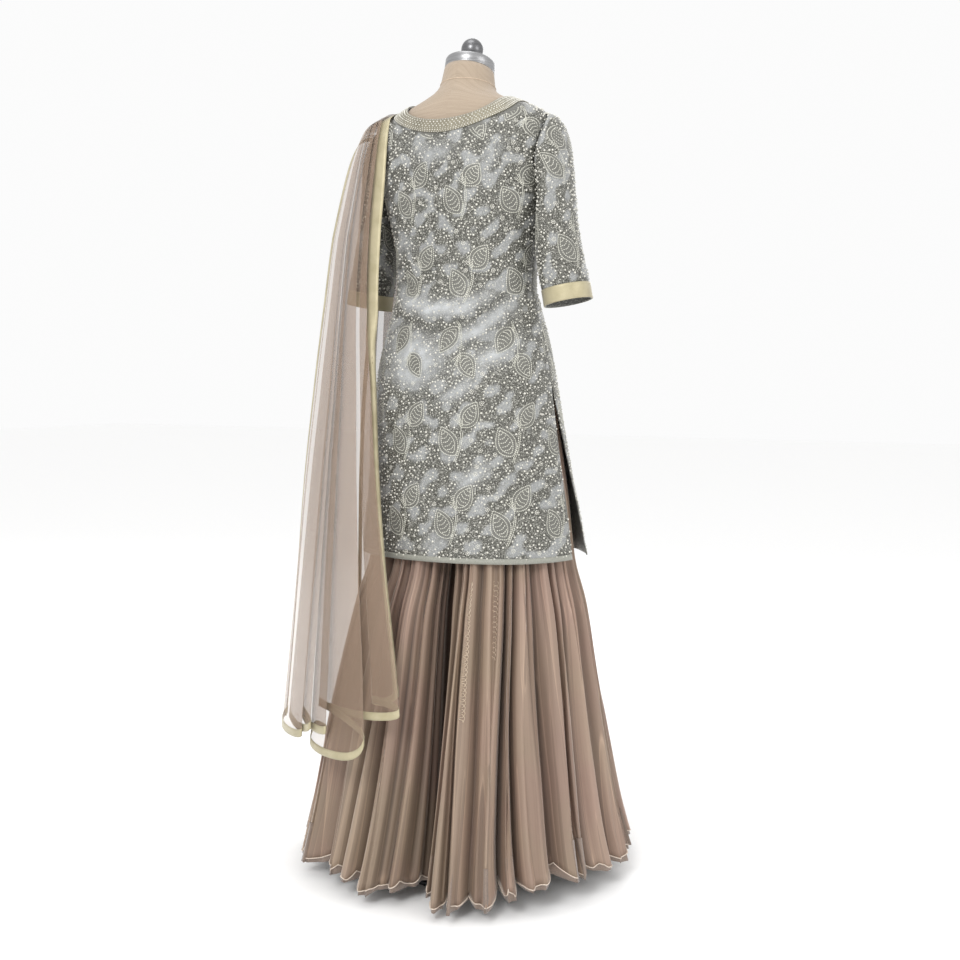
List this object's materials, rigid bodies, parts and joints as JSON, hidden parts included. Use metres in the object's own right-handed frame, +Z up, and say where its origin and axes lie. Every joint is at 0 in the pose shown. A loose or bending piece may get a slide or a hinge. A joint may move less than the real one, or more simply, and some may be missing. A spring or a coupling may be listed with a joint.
{
  "type": "sharara suit on a dress form",
  "caption": "Beaded tunic with elbow sleeves over full gathered trousers, net scarf over one shoulder, worn on a limbless dress form on a pole stand.",
  "frame": {"origin": "middle of the underside of the stand's round foot, on the floor", "axes": "+Z up along the pole, -Y towards the front of the suit, +X towards the wearer's left"},
  "size_m": [0.653, 0.6163, 1.5349],
  "materials": {
    "tunic_embroidered_net": "soft silver-grey cloth set with pearls and glass beads",
    "bead_pearl": "lustrous pearl and silver-lined glass beads",
    "gold_ribbon": "pale gold woven ribbon with a metallic sheen",
    "trouser_georgette": "matt crinkled georgette over a lining",
    "scarf_net": "soft sheer net",
    "form_linen": "plain woven linen",
    "form_steel": "turned and brushed",
    "stand_iron": "satin dark grey paint"
  },
  "bodies": {
    "root": {"form_torso": "form_linen", "form_neck_cap": "form_steel", "form_knob": "form_steel", "stand_pole": "form_steel", "stand_foot": "stand_iron", "tunic_back": "tunic_embroidered_net", "tunic_front": "tunic_embroidered_net", "tunic_neck_ribbon_back": "gold_ribbon", "tunic_neck_ribbon_front": "gold_ribbon", "tunic_sleeve_right": "tunic_embroidered_net", "tunic_sleeve_left": "tunic_embroidered_net", "tunic_cuff_ribbon_right": "gold_ribbon", "tunic_cuff_ribbon_left": "gold_ribbon", "trouser_waistband": "trouser_georgette", "trouser_leg_right_back": "trouser_georgette", "trouser_leg_right_front": "trouser_georgette", "trouser_leg_left_back": "trouser_georgette", "trouser_leg_left_front": "trouser_georgette", "scarf_back": "scarf_net", "scarf_front": "scarf_net", "scarf_ribbon_back": "gold_ribbon", "scarf_ribbon_front": "gold_ribbon"}
  },
  "joints": []
}
